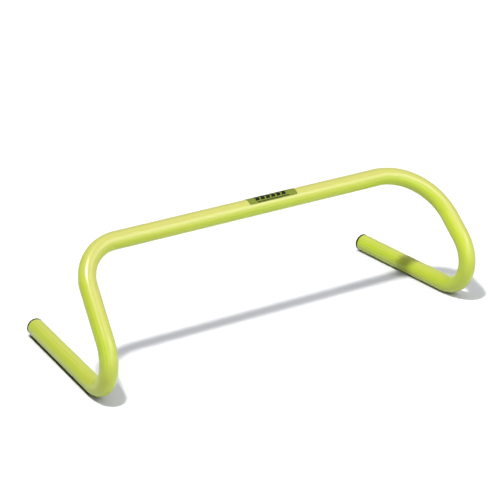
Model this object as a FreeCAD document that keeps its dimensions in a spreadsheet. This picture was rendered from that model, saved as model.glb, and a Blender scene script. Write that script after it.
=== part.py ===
import FreeCAD, Part
import Sketcher
import math
import os

# A low free-standing training hurdle for a small dog. One round plastic tube is bent into a
# crossbar, two legs that lean back, and two long feet that lie on the floor. A push-in plug
# closes each open foot end, and a thin film label lies on top of the crossbar.
#
# Frame: Z up, floor at Z = 0, crossbar along X. The lower bends point to -Y and the open foot
# ends to +Y. The origin is on the floor, under the middle of the whole hurdle.

Vector = FreeCAD.Vector
ALONG_X = Vector(1, 0, 0)
UP = Vector(0, 0, 1)
SAME_LENGTH = 1e-6

# Driving sizes in mm and degrees. Spans and reaches run between the corner points where two
# straight centrelines would meet, before each corner is rounded to its bend radius.
SIZES = {
    "tube_diameter": (20.0, "outside of the tube"),
    "tube_wall": (2.0, "wall of the tube"),
    "bar_span": (449.0, "crossbar, from corner to corner"),
    "base_span": (481.0, "between the two lower corners"),
    "foot_span": (445.0, "between the two cut foot ends"),
    "bar_height": (145.5, "floor to the crossbar's centreline"),
    "bar_setback": (131.0, "crossbar behind the lower corners"),
    "foot_reach": (242.0, "lower corner to the cut foot end, along Y"),
    "bar_bend_left": (48.0, "bend radius, crossbar into the left leg"),
    "bar_bend_right": (73.0, "bend radius, crossbar into the right leg"),
    "base_bend_left": (36.0, "bend radius, left leg into its foot"),
    "base_bend_right": (41.0, "bend radius, right leg into its foot"),
    "head_thickness": (3.2, "plug head, outside the tube"),
    "head_rounding": (0.8, "rounded rim of the plug head"),
    "barrel_length": (16.0, "plug barrel, inside the tube"),
    "barrel_gap": (0.6, "barrel to bore, all round"),
    "barrel_wall": (1.6, "wall of the hollow barrel"),
    "barrel_web": (1.2, "solid stretch of the barrel behind the head"),
    "barrel_lead": (0.8, "lead-in chamfer at the barrel's tip"),
    "rib_count": (4, "gripping ribs round the barrel"),
    "rib_pitch": (3.2, "from one rib to the next"),
    "rib_start": (2.4, "plug head to the first rib"),
    "rib_width": (1.0, "each rib, along the barrel"),
    "rib_gap": (0.05, "rib crest to bore, all round"),
    "label_length": (62.0, "label, along the crossbar"),
    "label_wrap": (80.0, "arc that the label covers"),
    "label_tilt": (8.0, "label's middle, forward of the bar's top"),
    "label_offset": (15.0, "label's middle, right of the bar's middle"),
    "label_film": (0.2, "thickness of the label"),
}
TUBE_RADIUS = "Sizes.tube_diameter / 2"
BORE_RADIUS = "(Sizes.tube_diameter / 2 - Sizes.tube_wall)"
BARREL_RADIUS = f"({BORE_RADIUS} - Sizes.barrel_gap)"


def make_sheet(doc):
    sheet = doc.addObject("Spreadsheet::Sheet", "Sizes")
    for row, (alias, (value, note)) in enumerate(SIZES.items(), start=1):
        sheet.set(f"A{row}", alias)
        sheet.set(f"B{row}", str(value))
        sheet.setAlias(f"B{row}", alias)
        sheet.set(f"C{row}", note)
    doc.recompute()
    return sheet


def corner_points(sheet):
    """Corners of the centreline, from the left foot's cut end over the bar to the right one's."""
    axis_height = sheet.tube_diameter / 2
    right = [
        Vector(sheet.bar_span / 2, sheet.bar_setback, sheet.bar_height),
        Vector(sheet.base_span / 2, 0, axis_height),
        Vector(sheet.foot_span / 2, sheet.foot_reach, axis_height),
    ]
    left = [Vector(-point.x, point.y, point.z) for point in reversed(right)]
    return left + right


class Bend:
    """The arc that rounds one corner of the centreline."""

    def __init__(self, before, corner, after, radius):
        self.radius = radius
        self.run_in = (corner - before).normalize()
        run_out = (after - corner).normalize()
        half_turn = self.run_in.getAngle(run_out) / 2
        self.inward = (run_out - self.run_in).normalize()
        self.centre = corner + self.inward * (radius / math.cos(half_turn))
        self.start = corner - self.run_in * (radius * math.tan(half_turn))
        self.end = corner + run_out * (radius * math.tan(half_turn))

    def arc(self):
        middle = self.centre - self.inward * self.radius
        return Part.Arc(self.start, middle, self.end).toShape()

    def foremost(self, tube_radius):
        """Lowest Y that the tube reaches as it goes round."""
        across = (self.inward - self.run_in * self.inward.dot(self.run_in)).normalize()
        return self.centre.y - self.radius * math.hypot(self.run_in.y, across.y) - tube_radius


def make_bends(sheet, points):
    radii = [sheet.base_bend_left, sheet.bar_bend_left, sheet.bar_bend_right, sheet.base_bend_right]
    return [Bend(*points[i:i + 3], radius) for i, radius in enumerate(radii)]


def make_centreline(doc, points, bends):
    """Straight runs joined by tangent arcs, in one wire."""
    edges = []
    start = points[0]
    for bend in bends:
        edges.append(Part.LineSegment(start, bend.start).toShape())
        edges.append(bend.arc())
        start = bend.end
    edges.append(Part.LineSegment(start, points[-1]).toShape())
    line = doc.addObject("Part::Feature", "Centreline")
    line.Shape = Part.Wire(edges)
    return line


def head_rear(sheet, end, outward):
    """Highest Y of a plug head, whose rim is rounded."""
    rounding = sheet.head_rounding
    face = (sheet.head_thickness - rounding) * outward.y
    rim = (sheet.tube_diameter / 2 - rounding) * math.sqrt(1 - outward.y ** 2)
    return end.y + face + rim + rounding


def make_round_sweep(doc, name, line, radius_formula):
    """A solid round bar along the centreline."""
    first_edge = line.Shape.Edges[0]
    section = doc.addObject("Part::Circle", name + "Section")
    section.setExpression("Radius", radius_formula)
    start = first_edge.valueAt(first_edge.FirstParameter)
    direction = first_edge.tangentAt(first_edge.FirstParameter)
    section.Placement = FreeCAD.Placement(start, FreeCAD.Rotation(UP, direction))
    sweep = doc.addObject("Part::Sweep", name)
    sweep.Sections = [section]
    sweep.Spine = (line, [f"Edge{i + 1}" for i in range(len(line.Shape.Edges))])
    sweep.Solid = True
    sweep.Frenet = False
    return sweep


def make_tube(doc, line, place):
    tube = doc.addObject("Part::Cut", "HurdleTube")
    tube.Base = make_round_sweep(doc, "TubeOutside", line, TUBE_RADIUS)
    tube.Tool = make_round_sweep(doc, "TubeBore", line, BORE_RADIUS)
    tube.Label = "hurdle_tube"
    tube.Placement = place
    return tube


def sketch_on(body, name, role):
    """An empty sketch on one of the body's own origin planes."""
    sketch = body.newObject("Sketcher::SketchObject", name)
    plane = next(item for item in body.Origin.OriginFeatures if item.Role == role)
    sketch.AttachmentSupport = [(plane, "")]
    sketch.MapMode = "FlatFace"
    return sketch


def circle_sketch(body, name, radius_formula, place_formula):
    """A circle round the body's X axis, in a plane square to it."""
    sketch = sketch_on(body, name, "YZ_Plane")
    sketch.setExpression("AttachmentOffset.Base.z", place_formula)
    sketch.addGeometry(Part.Circle(Vector(), UP, 1), False)
    sketch.addConstraint(Sketcher.Constraint("Coincident", 0, 3, -1, 1))
    radius = sketch.addConstraint(Sketcher.Constraint("Radius", 0, 1))
    sketch.setExpression(f"Constraints[{radius}]", radius_formula)
    return sketch


def add_disc(body, name, radius_formula, length_formula, place_formula="0", backwards=True):
    disc = body.newObject("PartDesign::Pad", name)
    disc.Profile = circle_sketch(body, name + "Circle", radius_formula, place_formula)
    disc.setExpression("Length", length_formula)
    disc.Reversed = backwards
    return disc


def circular_edge(feature, x, radius):
    """The name of the feature's circular edge of that radius, in the plane at x."""
    for number, edge in enumerate(feature.Shape.Edges, start=1):
        curve = edge.Curve
        if isinstance(curve, Part.Circle) and same(curve.Radius, radius) and same(curve.Center.x, x):
            return f"Edge{number}"
    raise ValueError(f"{feature.Label} has no edge of radius {radius} at {x}")


def same(one, other):
    return abs(one - other) < SAME_LENGTH


def dress_edge(body, kind, name, base, edge, size_name, size_formula):
    dressed = body.newObject(kind, name)
    dressed.Base = (base, [edge])
    dressed.setExpression(size_name, size_formula)
    return dressed


def make_plug(doc, sheet, name, place):
    """A hollow push-in plug on the X axis, its head at X > 0 and its ribbed barrel at X < 0."""
    body = doc.addObject("PartDesign::Body", name.title().replace("_", ""))
    body.Label = name

    add_disc(body, "Head", TUBE_RADIUS, "Sizes.head_thickness", backwards=False)
    barrel = add_disc(body, "Barrel", BARREL_RADIUS, "Sizes.barrel_length")
    doc.recompute()

    rim = circular_edge(barrel, sheet.head_thickness, sheet.tube_diameter / 2)
    rounded = dress_edge(body, "PartDesign::Fillet", "RoundedRim", barrel, rim,
                         "Radius", "Sizes.head_rounding")
    doc.recompute()

    barrel_radius = sheet.tube_diameter / 2 - sheet.tube_wall - sheet.barrel_gap
    tip = circular_edge(rounded, -sheet.barrel_length, barrel_radius)
    dress_edge(body, "PartDesign::Chamfer", "LeadIn", rounded, tip, "Size", "Sizes.barrel_lead")

    rib = add_disc(body, "Rib", f"{BORE_RADIUS} - Sizes.rib_gap", "Sizes.rib_width", "-Sizes.rib_start")
    doc.recompute()

    ribs = body.newObject("PartDesign::LinearPattern", "Ribs")
    ribs.Originals = [rib]
    ribs.Direction = (rib.Profile[0], ["N_Axis"])
    ribs.Reversed = True
    ribs.setExpression("Length", "Sizes.rib_pitch * (Sizes.rib_count - 1)")
    ribs.setExpression("Occurrences", "Sizes.rib_count")
    body.Tip = ribs
    doc.recompute()

    hollow = body.newObject("PartDesign::Pocket", "Hollow")
    hollow.Profile = circle_sketch(body, "HollowCircle", f"{BARREL_RADIUS} - Sizes.barrel_wall",
                                   "-Sizes.barrel_length")
    hollow.setExpression("Length", "Sizes.barrel_length - Sizes.barrel_web")
    hollow.Reversed = True
    body.Placement = place
    return body


def make_label(doc, place):
    """A thin film that lies round the X axis, its middle at the top."""
    body = doc.addObject("PartDesign::Body", "CrossbarLabel")
    body.Label = "crossbar_label"
    sketch = sketch_on(body, "FilmSection", "XZ_Plane")
    corners = [Vector(-1, 1, 0), Vector(1, 1, 0), Vector(1, 2, 0), Vector(-1, 2, 0)]
    for start, end in zip(corners, corners[1:] + corners[:1]):
        sketch.addGeometry(Part.LineSegment(start, end), False)
    for line in range(4):
        sketch.addConstraint(Sketcher.Constraint("Coincident", line, 2, (line + 1) % 4, 1))
    sketch.addConstraint(Sketcher.Constraint("Symmetric", 0, 1, 0, 2, -2))
    for kind, line in (("Vertical", 1), ("Horizontal", 2), ("Vertical", 3)):
        sketch.addConstraint(Sketcher.Constraint(kind, line))
    for kind, ends, value, formula in (
        ("DistanceX", (0, 1, 0, 2), 2, "Sizes.label_length"),
        ("DistanceY", (-1, 1, 0, 1), 1, TUBE_RADIUS),
        ("DistanceY", (0, 1, 2, 2), 1, "Sizes.label_film"),
    ):
        index = sketch.addConstraint(Sketcher.Constraint(kind, *ends, value))
        sketch.setExpression(f"Constraints[{index}]", formula)
    film = body.newObject("PartDesign::Revolution", "Film")
    film.Profile = sketch
    film.ReferenceAxis = (sketch, ["H_Axis"])
    film.Midplane = True
    film.setExpression("Angle", "Sizes.label_wrap")
    body.Placement = place
    return body


def check(doc, nodes):
    for thing in doc.Objects:
        if "Invalid" in thing.State or "Error" in thing.State:
            raise RuntimeError(f"{thing.Label} failed: {thing.State}")
    for node in nodes:
        if node.Shape.isNull() or not node.Shape.isValid():
            raise RuntimeError(f"{node.Label} has no valid shape")
        if len(node.Shape.Solids) != 1:
            raise RuntimeError(f"{node.Label} is {len(node.Shape.Solids)} solids, not one")


def main():
    doc = FreeCAD.newDocument("AgilityHurdle")
    sheet = make_sheet(doc)
    points = corner_points(sheet)
    bends = make_bends(sheet, points)
    line = make_centreline(doc, points, bends)

    left_out = (points[0] - points[1]).normalize()
    right_out = (points[-1] - points[-2]).normalize()
    front = min(bend.foremost(sheet.tube_diameter / 2) for bend in (bends[0], bends[-1]))
    rear = head_rear(sheet, points[-1], right_out)
    shift = Vector(0, -(front + rear) / 2, 0)

    tube = make_tube(doc, line, FreeCAD.Placement(shift, FreeCAD.Rotation()))
    plugs = [
        make_plug(doc, sheet, name, FreeCAD.Placement(end + shift, FreeCAD.Rotation(ALONG_X, outward)))
        for name, end, outward in (
            ("end_plug_left", points[0], left_out),
            ("end_plug_right", points[-1], right_out),
        )
    ]
    bar_middle = Vector(sheet.label_offset, sheet.bar_setback, sheet.bar_height)
    forward_tilt = FreeCAD.Rotation(ALONG_X, sheet.label_tilt)
    label = make_label(doc, FreeCAD.Placement(bar_middle + shift, forward_tilt))

    doc.recompute()
    nodes = [tube, *plugs, label]
    check(doc, nodes)

    section = math.pi * (sheet.tube_diameter - sheet.tube_wall) * sheet.tube_wall
    print(f"tube volume {tube.Shape.Volume:.1f}, section times length "
          f"{section * line.Shape.Length:.1f} mm3")
    os.makedirs("parts", exist_ok=True)
    for node in nodes:
        node.Shape.exportStep(f"parts/{node.Label}.step")
        box = node.Shape.BoundBox
        print(f"{node.Label}: {box.XLength:.1f} x {box.YLength:.1f} x {box.ZLength:.1f} mm, "
              f"{node.Shape.Volume:.0f} mm3")


main()
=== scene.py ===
import math

import bmesh
import bpy
import numpy as np
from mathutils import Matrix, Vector


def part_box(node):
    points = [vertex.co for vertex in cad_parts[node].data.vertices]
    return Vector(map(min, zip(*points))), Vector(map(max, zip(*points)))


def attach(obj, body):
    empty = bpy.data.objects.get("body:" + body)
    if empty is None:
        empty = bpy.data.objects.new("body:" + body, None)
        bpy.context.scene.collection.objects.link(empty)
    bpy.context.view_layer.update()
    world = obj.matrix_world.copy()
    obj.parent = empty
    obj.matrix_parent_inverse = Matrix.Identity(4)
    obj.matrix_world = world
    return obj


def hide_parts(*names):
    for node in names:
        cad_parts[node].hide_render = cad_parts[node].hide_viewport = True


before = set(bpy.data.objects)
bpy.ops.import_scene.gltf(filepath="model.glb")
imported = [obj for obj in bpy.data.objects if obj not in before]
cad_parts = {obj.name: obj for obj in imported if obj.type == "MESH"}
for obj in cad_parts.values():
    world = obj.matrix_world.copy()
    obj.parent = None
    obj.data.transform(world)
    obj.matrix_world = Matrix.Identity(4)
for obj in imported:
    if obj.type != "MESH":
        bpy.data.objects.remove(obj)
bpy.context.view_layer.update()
print("frame loaded")

# The hurdle in metres: +X along the crossbar, +Y towards the open foot ends, floor at Z = 0.
hurdle = {
    "radius": 0.010, "wall": 0.002,
    "barSpan": 0.449, "baseSpan": 0.481, "footSpan": 0.445,  # between corner points
    "barHeight": 0.1455, "barSetback": 0.131, "footReach": 0.242,
    "bendRadii": (0.036, 0.048, 0.073, 0.041),  # left base, left bar, right bar, right base
}


def unit(vector):
    return vector / np.linalg.norm(vector)


# Straight runs joined by arcs that touch both runs. Each arc starts radius * tan(turn / 2)
# before its corner. A stretch is start, heading, inward side, carried normal, curvature, length.
def bentPath(corners, bendRadii, normal):
    stretches = []
    start = corners[0]
    for before, corner, after, radius in zip(corners, corners[1:], corners[2:], bendRadii):
        heading, leaving = unit(corner - before), unit(after - corner)
        turn = math.acos(heading @ leaving)
        inward = unit(leaving - heading * (heading @ leaving))
        cut = radius * math.tan(turn / 2)
        arcStart = corner - heading * cut
        run = np.linalg.norm(arcStart - start)
        stretches.append((start, heading, inward, normal, 0.0, run))
        stretches.append((arcStart, heading, inward, normal, 1 / radius, radius * turn))
        across = np.cross(heading, inward)
        turned = inward * math.cos(turn) - heading * math.sin(turn)
        normal = turned * (normal @ inward) + across * (normal @ across)
        start = corner + leaving * cut
    run = np.linalg.norm(corners[-1] - start)
    stretches.append((start, leaving, turned, normal, 0.0, run))
    names = ("start", "heading", "inward", "normal", "curvature", "length")
    path = {name: np.array(values) for name, values in zip(names, zip(*stretches))}
    path["reach"] = np.concatenate(([0.0], np.cumsum(path["length"])))
    return path


# A point at a distance d into an arc of curvature c is start + heading * sin(cd) / c +
# inward * (1 - cos(cd)) / c, which also holds on a straight run, where c is 0.
def alongPath(path, distance, ramp):
    index = np.clip(np.searchsorted(path["reach"], distance, "right") - 1, 0, len(path["length"]) - 1)
    into = distance - path["reach"][index]
    curvature, length = path["curvature"][index], path["length"][index]
    angle = (curvature * into)[:, None]
    forward = into[:, None] * np.sinc(angle / math.pi)
    sideways = into[:, None] * np.sinc(angle / 2 / math.pi) * np.sin(angle / 2)
    heading, side, normal = path["heading"][index], path["inward"][index], path["normal"][index]
    across = np.cross(heading, side)
    inward = side * np.cos(angle) - heading * np.sin(angle)
    carried = inward * (normal * side).sum(1)[:, None] + across * (normal * across).sum(1)[:, None]
    share = np.clip(np.minimum(into, length - into) / ramp, 0, 1)
    bend = np.where(curvature > 0, share * share * (3 - 2 * share), 0)
    return {
        "point": path["start"][index] + heading * forward + side * sideways,
        "heading": heading * np.cos(angle) + side * np.sin(angle),
        "normal": carried, "inward": inward, "bend": bend,
    }


# Quads between neighbouring points of a grid of rows and columns, each way closed or open.
def gridMesh(name, grid, closeRows=False, closeColumns=False, sharp=35.0):
    rows, columns = grid.shape[:2]
    down = np.arange(rows if closeRows else rows - 1)[:, None]
    along = np.arange(columns if closeColumns else columns - 1)[None, :]
    nextDown, nextAlong = (down + 1) % rows, (along + 1) % columns
    corners = [down * columns + along, down * columns + nextAlong,
               nextDown * columns + nextAlong, nextDown * columns + along]
    shape = np.broadcast(down, along).shape
    faces = np.stack([np.broadcast_to(corner, shape) for corner in corners], -1)
    mesh = bpy.data.meshes.new(name)
    mesh.from_pydata(grid.reshape(-1, 3), [], faces.reshape(-1, 4))
    mesh.shade_smooth()
    mesh.set_sharp_from_angle(angle=math.radians(sharp))
    piece = bpy.data.objects.new(name, mesh)
    bpy.context.scene.collection.objects.link(piece)
    return piece


# Merges the points of each pole and turns every face outwards.
def closeShell(piece):
    shell = bmesh.new()
    shell.from_mesh(piece.data)
    bmesh.ops.remove_doubles(shell, verts=shell.verts, dist=1e-7)
    bmesh.ops.recalc_face_normals(shell, faces=shell.faces)
    shell.to_mesh(piece.data)
    shell.free()


def setAttribute(piece, name, kind, values):
    attribute = piece.data.attributes.new(name, kind, "POINT")
    field = "vector" if kind == "FLOAT_VECTOR" else "value"
    attribute.data.foreach_set(field, np.ascontiguousarray(values, np.float32).ravel())


def handOver(piece, node, finish):
    piece.data.materials.append(finish)
    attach(piece, "root")
    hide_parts(node)


class Wire:
    # wraps a socket, so that arithmetic on it adds Math nodes
    def __init__(self, finish, socket):
        self.finish, self.socket = finish, socket

    def maths(self, operation, first, second=0.0):
        return self.finish.node("ShaderNodeMath", {"operation": operation}, {0: first, 1: second})

    def __add__(self, other):
        return self.maths("ADD", self, other)

    def __sub__(self, other):
        return self.maths("SUBTRACT", self, other)

    def __rsub__(self, other):
        return self.maths("SUBTRACT", other, self)

    def __mul__(self, other):
        return self.maths("MULTIPLY", self, other)

    def __abs__(self):
        return self.maths("ABSOLUTE", self)

    def __lt__(self, other):
        return self.maths("LESS_THAN", self, other)

    __radd__ = __add__
    __rmul__ = __mul__


class Finish:
    def __init__(self, name, **fixed):
        self.material = bpy.data.materials.new(name)
        self.material.use_nodes = True
        self.tree = self.material.node_tree
        self.surface = self.tree.nodes["Principled BSDF"]
        for socket, value in fixed.items():
            self.surface.inputs[socket.replace("_", " ")].default_value = value

    # adds one node: settings first, then the values or links of its sockets
    def node(self, kind, settings, inputs, output=0):
        made = self.tree.nodes.new(kind)
        for name, value in settings.items():
            setattr(made, name, value)
        for key, value in inputs.items():
            self.plug(made.inputs[key], value)
        return Wire(self, made.outputs[output])

    def plug(self, socket, value):
        if isinstance(value, Wire):
            self.tree.links.new(value.socket, socket)
        else:
            socket.default_value = value

    def objectPlace(self):
        return self.node("ShaderNodeTexCoord", {}, {}, 3)

    # a number stored on the points of the piece, or three of them as a vector
    def stored(self, name, vector=False):
        return self.node("ShaderNodeAttribute", {"attribute_name": name}, {}, 1 if vector else 2)

    def part(self, vector, axis):
        return self.node("ShaderNodeSeparateXYZ", {}, {0: vector}, axis)

    def shade(self, colour, factor):
        return self.node("ShaderNodeVectorMath", {"operation": "SCALE"}, {0: colour, 3: factor})

    def noise(self, place, scale, detail=2.0, roughness=0.5):
        return self.node("ShaderNodeTexNoise", {}, {
            "Vector": place, "Scale": scale, "Detail": detail, "Roughness": roughness})

    def stretch(self, place, scale):
        return self.node("ShaderNodeMapping", {}, {"Vector": place, "Scale": scale})

    # 0 below low, 1 above high, and smooth between
    def ease(self, value, low, high):
        return self.node("ShaderNodeMapRange", {"interpolation_type": "SMOOTHSTEP"}, {
            "Value": value, "From Min": low, "From Max": high})

    def blend(self, share, first, second):
        return self.node("ShaderNodeMix", {"data_type": "RGBA"}, {0: share, 6: first, 7: second}, 2)

    def bump(self, height, strength, distance):
        return self.node("ShaderNodeBump", {}, {
            "Height": height, "Strength": strength, "Distance": distance})

    def paint(self, **links):
        for socket, value in links.items():
            self.plug(self.surface.inputs[socket.replace("_", " ")], value)
        return self.material


tubeLook = {
    "ringPoints": 64, "outerStep": 0.0016, "boreStep": 0.006, "lip": 0.0004, "lipRows": 4,
    "ramp": 0.016, "flatten": 0.035,  # share of the radius lost across the inside of a bend
    "green": (0.282, 0.368, 0.010, 1), "yellow": (0.303, 0.365, 0.013, 1),
    "sheenSide": (0.35, -0.25, 0.90),  # the side that gets the most painted sheen
    # a cream colour: a small even share of it is the plastic's paler tone; the rest is a painted
    # highlight on the side facing the light
    "paleAndSheen": (0.295, 0.285, 0.071, 1), "paleEverywhere": 0.10, "stretched": (0.38, 0.42, 0.08, 1),
    "grime": (0.14, 0.15, 0.05, 1), "scuff": (0.36, 0.40, 0.10, 1), "roughness": 0.29,
    "drawnScale": (3, 700, 700), "marksScale": (60, 260, 260),
}


def hurdlePath():
    size = hurdle
    right = [
        (size["barSpan"] / 2, size["barSetback"], size["barHeight"]),
        (size["baseSpan"] / 2, 0.0, size["radius"]),
        (size["footSpan"] / 2, size["footReach"], size["radius"]),
    ]
    left = [(-x, y, z) for x, y, z in reversed(right)]
    path = bentPath(np.array(left + right), size["bendRadii"], np.array((0.0, 0.0, 1.0)))
    middle = alongPath(path, np.linspace(0, path["reach"][-1], 4000), tubeLook["ramp"])["point"]
    path["start"][:, 1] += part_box("hurdle_tube")[0].y + size["radius"] - middle[:, 1].min()
    return path


# A ring carried along the path. Its radius is (R - depth) * (1 - flatten * bend * in^2), where in
# is how far the ring's direction points to the inside of the bend. The rows run along the
# outside, over one rounded lip, back through the bore and over the other lip, so the shell
# closes on itself.
def tubeShell(path):
    look, size = tubeLook, hurdle
    total, lip = path["reach"][-1], look["lip"]
    turn = np.linspace(0, math.pi / 2, look["lipRows"])[1:]
    lipBack, lipDepth = lip * (1 - np.sin(turn)), lip * (1 - np.cos(turn))
    outside = np.linspace(lip, total - lip, int(total / look["outerStep"]))
    bore = np.linspace(total, 0, int(total / look["boreStep"]))
    distance = np.concatenate((outside, total - lipBack, bore, lipBack[::-1]))
    depth = np.concatenate((outside * 0, lipDepth, bore * 0 + size["wall"], lipDepth[::-1]))

    at = alongPath(path, distance, look["ramp"])
    around = np.linspace(0, 2 * math.pi, look["ringPoints"], endpoint=False)
    across = np.cross(at["heading"], at["normal"])
    rays = at["normal"][:, None] * np.cos(around)[:, None] + across[:, None] * np.sin(around)[:, None]
    inside = (rays * at["inward"][:, None]).sum(2)
    oval = 1 - at["bend"][:, None] * look["flatten"] * inside**2
    radius = (size["radius"] - depth)[:, None] * oval
    grid = at["point"][:, None] + rays * radius[..., None]

    piece = gridMesh("hurdleTube", grid, closeRows=True, closeColumns=True)
    ring = np.broadcast_to(around, radius.shape)
    place = np.stack((np.broadcast_to(distance[:, None], radius.shape),
                      size["radius"] * np.cos(ring), size["radius"] * np.sin(ring)), -1)
    setAttribute(piece, "lengthwise", "FLOAT_VECTOR", place)
    setAttribute(piece, "stretched", "FLOAT", at["bend"][:, None] * np.clip(-inside, 0, 1) ** 2)
    # how far each point faces the side that gets the painted highlight
    setAttribute(piece, "sheenFacing", "FLOAT", rays @ np.array(look["sheenSide"]))
    closeShell(piece)
    return piece


def tubeFinish():
    look = tubeLook
    skin = Finish("tubePlastic", IOR=1.5, Specular_IOR_Level=0.4)
    place = skin.objectPlace()
    lengthwise, stretched = skin.stored("lengthwise", True), skin.stored("stretched")
    sheenFacing = skin.stored("sheenFacing")
    height = skin.part(place, 2)

    drift = skin.noise(place, 9.0, 3)  # broad shift of hue
    grain = skin.noise(place, 1400.0, 2, 0.7)  # pigment grain
    drawn = skin.noise(skin.stretch(lengthwise, look["drawnScale"]), 1.0, 3)  # lines along the tube
    marks = skin.noise(skin.stretch(lengthwise, look["marksScale"]), 1.0, 4, 0.65)
    scuffs = skin.ease(marks, 0.66, 0.74) * skin.ease(skin.noise(place, 14.0), 0.5, 0.62)
    low = 1 - skin.ease(height, 0.0005, 0.003)
    rubbed = low * skin.ease(skin.noise(place, 120.0, 4), 0.42, 0.6)

    colour = skin.blend(skin.ease(drift, 0.35, 0.65), look["green"], look["yellow"])
    sheenByHeight = 0.49 + skin.ease(height, 0.03, 0.13) * 0.35  # painted sheen: stronger on the bar than on the feet
    # painted highlight: the cream colour is mixed in where the surface faces the lit side, plus a
    # small even share everywhere
    sheenShare = look["paleEverywhere"] + skin.ease(sheenFacing, 0.05, 0.95) * sheenByHeight
    colour = skin.blend(sheenShare, colour, look["paleAndSheen"])
    colour = skin.blend(stretched * 0.3, colour, look["stretched"])
    colour = skin.blend(scuffs * 0.35, colour, look["scuff"])
    colour = skin.blend(rubbed * 0.45, colour, look["grime"])
    colour = skin.shade(colour, 1 + (grain - 0.5) * 0.10 + (drawn - 0.5) * 0.08)

    worn = scuffs * 0.2 + rubbed * 0.2
    roughness = look["roughness"] + (drift - 0.5) * 0.08 + (drawn - 0.5) * 0.14 + worn
    relief = drawn * 0.6 + skin.noise(place, 650.0, 2) * 0.4 - scuffs * 0.5
    return skin.paint(Base_Color=colour, Roughness=roughness, Normal=skin.bump(relief, 0.5, 0.00006))


plugLook = {
    "ringPoints": 96, "head": 0.0032, "rounding": 0.0008, "dome": 0.0002, "seam": 0.0002,
    "gateRadius": 0.0013, "gateDepth": 0.0003,
    "barrel": 0.0074, "length": 0.016, "lead": 0.0008, "hollow": 0.0058, "web": 0.0012,
    "ribs": 4, "ribPitch": 0.0032, "ribStart": 0.0024, "ribWidth": 0.001, "ribCrest": 0.00795,
    "black": (0.004, 0.004, 0.004, 1), "dusty": (0.024, 0.025, 0.020, 1), "rings": 14000.0,
}


# The plug's outline as distance outwards and radius, from the middle of its head over the rim,
# along the ribbed barrel to the tip and back down its hollow: the dome falls with the square of
# the radius, the rim is a quarter circle and each rib is a step with a sloped front.
def plugOutline():
    look, radius = plugLook, hurdle["radius"]
    face = radius - look["rounding"]
    gate, dip = look["gateRadius"], look["head"] - look["gateDepth"]
    spread = np.linspace(gate, face, 12)
    dome = np.stack((look["head"] - look["dome"] * (spread / face) ** 2, spread), 1)
    turn = np.linspace(math.pi / 2, 0, 8)[1:]
    shoulder = look["head"] - look["dome"] - look["rounding"]
    rim = np.array((shoulder, face)) + look["rounding"] * np.stack((np.sin(turn), np.cos(turn)), 1)
    front = -look["ribStart"] - look["ribPitch"] * np.arange(look["ribs"])[:, None]
    steps = np.array((0, look["ribWidth"] * 0.2, look["ribWidth"], look["ribWidth"]))
    heights = np.array((look["barrel"], look["ribCrest"], look["ribCrest"], look["barrel"]))
    ribs = np.stack((front - steps, np.broadcast_to(heights, (look["ribs"], 4))), 2).reshape(-1, 2)
    tip = -look["length"]
    return np.concatenate((
        [(dip, 0), (dip, gate * 0.75)], dome, rim,
        [(look["seam"], radius), (0, radius - look["seam"]), (0, look["barrel"])], ribs,
        [(tip + look["lead"], look["barrel"]), (tip, look["barrel"] - look["lead"]),
         (tip, look["hollow"]), (-look["web"], look["hollow"]), (-look["web"], 0)]))


# The outline turned about the foot's own line at its cut end.
def plugShell(name, path, distance, outwards):
    at = alongPath(path, np.array((distance,)), tubeLook["ramp"])
    axis, normal = at["heading"][0] * outwards, at["normal"][0]
    around = np.linspace(0, 2 * math.pi, plugLook["ringPoints"], endpoint=False)
    rays = normal * np.cos(around)[:, None] + np.cross(axis, normal) * np.sin(around)[:, None]
    outline = plugOutline()
    grid = at["point"][0] + axis * outline[:, :1, None] + rays * outline[:, 1:, None]
    piece = gridMesh(name, grid, closeColumns=True)
    reach = np.broadcast_to(outline[:, 1:], grid.shape[:2])
    setAttribute(piece, "reach", "FLOAT", reach)
    closeShell(piece)
    return piece


def plugFinish():
    look = plugLook
    skin = Finish("plugPlastic", IOR=1.4, Specular_IOR_Level=0.15)
    place = skin.objectPlace()
    reach = skin.stored("reach")
    pebble = skin.noise(place, 1800.0, 3, 0.6)
    cloud = skin.noise(place, 160.0, 3)
    turned = skin.node("ShaderNodeMath", {"operation": "SINE"}, {0: reach * look["rings"]})
    worn = skin.ease(reach, 0.0088, 0.0098) * skin.ease(cloud, 0.45, 0.6)
    dust = skin.ease(cloud, 0.5, 0.75) * 0.35 + worn * 0.5
    relief = pebble * 0.7 + turned * 0.12
    return skin.paint(Base_Color=skin.blend(dust, look["black"], look["dusty"]),
                      Roughness=0.42 + (pebble - 0.5) * 0.2 + dust * 0.2,
                      Normal=skin.bump(relief, 0.6, 0.00005))


labelLook = {
    "length": 0.062, "arc": 0.01396, "tilt": 8.0, "offset": 0.015, "film": 0.0002, "corner": 0.0015,
    "columns": 125, "rows": 43,
    "smoke": (0.108, 0.131, 0.017, 1), "edge": (0.080, 0.098, 0.014, 1),
    "ink": (0.001, 0.002, 0.001, 1),
    "chevronPitch": 0.0068, "chevronWidth": 0.0050, "chevronHeight": 0.0070, "chevronSlant": 0.5,
    "printHalf": 0.0204, "printUp": -0.0002, "linePlace": -0.0054, "lineHeight": 0.0010,
}


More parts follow.
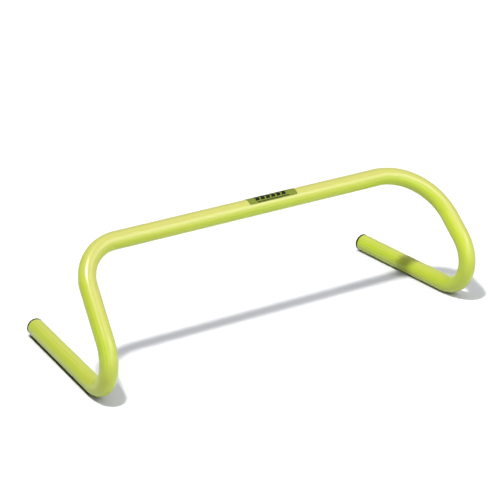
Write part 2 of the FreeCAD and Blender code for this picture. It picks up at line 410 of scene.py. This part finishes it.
# A rectangle whose corners are rounded: in each corner square, with p and q from 0 to 1, the
# point moves to p * sqrt(1 - q^2 / 2), q * sqrt(1 - p^2 / 2). It is then wrapped round the bar,
# at an angle of its width coordinate divided by the tube's radius.
def labelShell(path):
    look, size = labelLook, hurdle
    half = np.array((look["length"], look["arc"])) / 2
    flat = np.stack(np.meshgrid(np.linspace(-half[0], half[0], look["columns"]),
                                np.linspace(half[1], -half[1], look["rows"]), indexing="ij"), -1)
    into = np.clip((np.abs(flat) - half) / look["corner"] + 1, 0, 1)
    rounded = into * np.sqrt(1 - into[..., ::-1] ** 2 / 2)
    flat = flat + np.sign(flat) * (rounded - into) * look["corner"]
    radius = size["radius"] + look["film"]
    angle = math.radians(look["tilt"]) - flat[..., 1] / size["radius"]
    barLine = path["start"][4]
    grid = np.stack((look["offset"] + flat[..., 0], barLine[1] - radius * np.sin(angle),
                     barLine[2] + radius * np.cos(angle)), -1)
    piece = gridMesh("crossbarLabel", grid)
    edge = (1 - np.abs(flat) / half) * half
    setAttribute(piece, "printPlace", "FLOAT_VECTOR", np.dstack((flat, edge.min(2))))
    film = piece.modifiers.new("film", "SOLIDIFY")
    film.thickness, film.offset = look["film"], -1
    return piece


# Print: a chevron repeats each time the length coordinate plus slant * height above its middle
# line grows by one pitch, and is cut off at half its height. A plain line lies below the row.
def labelFinish():
    look = labelLook
    skin = Finish("labelFilm", IOR=1.35, Specular_IOR_Level=0.15)
    place = skin.objectPlace()
    spot = skin.stored("printPlace", True)
    along, up, inFromEdge = [skin.part(spot, axis) for axis in range(3)]
    rise = abs(up - look["printUp"])
    slanted = along + rise * look["chevronSlant"]
    pitch, reach = look["chevronPitch"], look["printHalf"]
    counted = slanted * (1 / pitch) + 100  # kept above zero
    cell = skin.node("ShaderNodeMath", {"operation": "FRACT"}, {0: counted})
    chevrons = (cell < look["chevronWidth"] / pitch) * (rise < look["chevronHeight"] / 2)
    underline = abs(up - look["linePlace"]) < look["lineHeight"] / 2
    ink = chevrons * (abs(slanted) < reach) + underline * (abs(along) < reach)
    cloud = skin.noise(place, 260.0, 3)
    grain = skin.noise(place, 2600.0, 2)
    rim = 1 - skin.ease(inFromEdge, 0.0002, 0.0011)
    colour = skin.blend(rim * 0.7, look["smoke"], look["edge"])
    colour = skin.shade(colour, 0.94 + cloud * 0.12 + (grain - 0.5) * 0.06)
    colour = skin.blend(ink * (0.93 + grain * 0.07), colour, look["ink"])
    return skin.paint(Base_Color=colour, Roughness=0.40 + cloud * 0.12 + ink * 0.15,
                      Normal=skin.bump(cloud + ink * 0.25, 0.35, 0.00004))


studio = {
    "floorSize": 12.0, "nearWhite": (0.55, 0.55, 0.555, 1), "farWhite": (0.80, 0.80, 0.80, 1),
    "contact": (0.003, 0.006, 0.92),  # painted contact shadow: full up to, none beyond this far from a foot's line; strength
    # colour of the painted contact shadow under the feet
    "contactShadowColour": (0.115, 0.118, 0.020, 1), "skyTint": (0.94, 0.97, 1.10, 1),
    "skyStrength": 0.4, "keyPlace": (-0.777, -0.455, 2.340), "keySize": 0.115, "keyPower": 57.0,
    "panels": (  # place, width, height and power; each one faces the hurdle
        ("roofPanel", (0.2, -0.2, 2.2), 2.6, 2.6, 15.0),
        ("frontPanel", (0.3, -3.2, 0.7), 3.2, 1.3, 33.0),
        ("highPanel", (1.3, -2.2, 1.9), 1.8, 1.6, 57.0),
    ),
    "eye": (-1.1056, -1.7362, 0.9827), "azimuth": 32.449, "elevation": 23.54, "lens": 144.23,
}


# The floor has a painted contact shadow, a darker strip under each foot. The foot's line starts at
# its heel, by the base bend, and leans inwards by splay times the distance back.
def buildFloor():
    side = studio["floorSize"] / 2
    spread = np.linspace(-side, side, 5)
    x, y = np.meshgrid(spread, spread, indexing="ij")
    floor = gridMesh("studioFloor", np.dstack((x, y, x * 0 - 0.0001)))
    paper = Finish("studioPaper", Roughness=0.9, Specular_IOR_Level=0.1)
    place = paper.objectPlace()
    away = paper.node("ShaderNodeVectorMath", {"operation": "LENGTH"}, {0: place}, 1)
    white = paper.blend(paper.ease(away, 0.6, 2.2), studio["nearWhite"], studio["farWhite"])

    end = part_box("end_plug_right")[1].y
    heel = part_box("hurdle_tube")[0].y + hurdle["radius"]
    splay = (hurdle["footSpan"] - hurdle["baseSpan"]) / 2 / hurdle["footReach"]
    x, y = paper.part(place, 0), paper.part(place, 1)
    aside = abs(abs(x) - (y - heel) * splay - hurdle["baseSpan"] / 2)
    near, far, strength = studio["contact"]
    foot = paper.ease(y, heel + 0.02, heel + 0.045) * (1 - paper.ease(y, end - 0.004, end))
    # painted contact shadow: the floor's colour turns dark along each foot
    paintedShadowShare = (1 - paper.ease(aside, near, far)) * foot * strength
    floor.data.materials.append(paper.paint(Base_Color=paper.blend(paintedShadowShare, white, studio["contactShadowColour"])))


def addLamp(name, kind, place, power):
    lamp = bpy.data.lights.new(name, kind)
    lamp.energy = power
    holder = bpy.data.objects.new(name, lamp)
    holder.location = place
    holder.rotation_euler = (-Vector(place)).to_track_quat("-Z", "Y").to_euler()
    bpy.context.scene.collection.objects.link(holder)
    return lamp


def buildLight():
    world = bpy.data.worlds.new("studioSky")
    bpy.context.scene.world = world
    world.use_nodes = True
    sky = world.node_tree.nodes["Background"]
    sky.inputs["Color"].default_value = studio["skyTint"]
    sky.inputs["Strength"].default_value = studio["skyStrength"]
    key = addLamp("keyLamp", "POINT", studio["keyPlace"], studio["keyPower"])
    key.shadow_soft_size = studio["keySize"]
    key.use_nodes = True
    nodes, links = key.node_tree.nodes, key.node_tree.links
    even = nodes.new("ShaderNodeLightFalloff")  # the same strength over the whole floor
    even.inputs["Strength"].default_value = 1.0
    links.new(even.outputs["Constant"], nodes["Emission"].inputs["Strength"])
    for name, place, width, height, power in studio["panels"]:
        panel = addLamp(name, "AREA", place, power)
        panel.shape, panel.size, panel.size_y = "RECTANGLE", width, height


def buildCamera():
    lens = bpy.data.cameras.new("camera")
    lens.lens, lens.sensor_width, lens.clip_end = studio["lens"], 36.0, 50.0
    camera = bpy.data.objects.new("camera", lens)
    bearing, drop = math.radians(studio["azimuth"]), math.radians(studio["elevation"])
    level = math.cos(drop)
    sight = Vector((math.sin(bearing) * level, math.cos(bearing) * level, -math.sin(drop)))
    camera.location = studio["eye"]
    camera.rotation_euler = sight.to_track_quat("-Z", "Y").to_euler()
    bpy.context.scene.collection.objects.link(camera)
    bpy.context.scene.camera = camera
    view = bpy.context.scene.view_settings
    view.view_transform, view.look = "Standard", "None"


buildLight()
buildCamera()
buildFloor()
print("studio ready")

path = hurdlePath()
handOver(tubeShell(path), "hurdle_tube", tubeFinish())
print("tube ready")

plugPlastic = plugFinish()
for name, node, distance, outwards in (
    ("endPlugLeft", "end_plug_left", 0.0, -1),
    ("endPlugRight", "end_plug_right", path["reach"][-1], 1),
):
    handOver(plugShell(name, path, distance, outwards), node, plugPlastic)
print("plugs ready")

handOver(labelShell(path), "crossbar_label", labelFinish())
print("label ready")
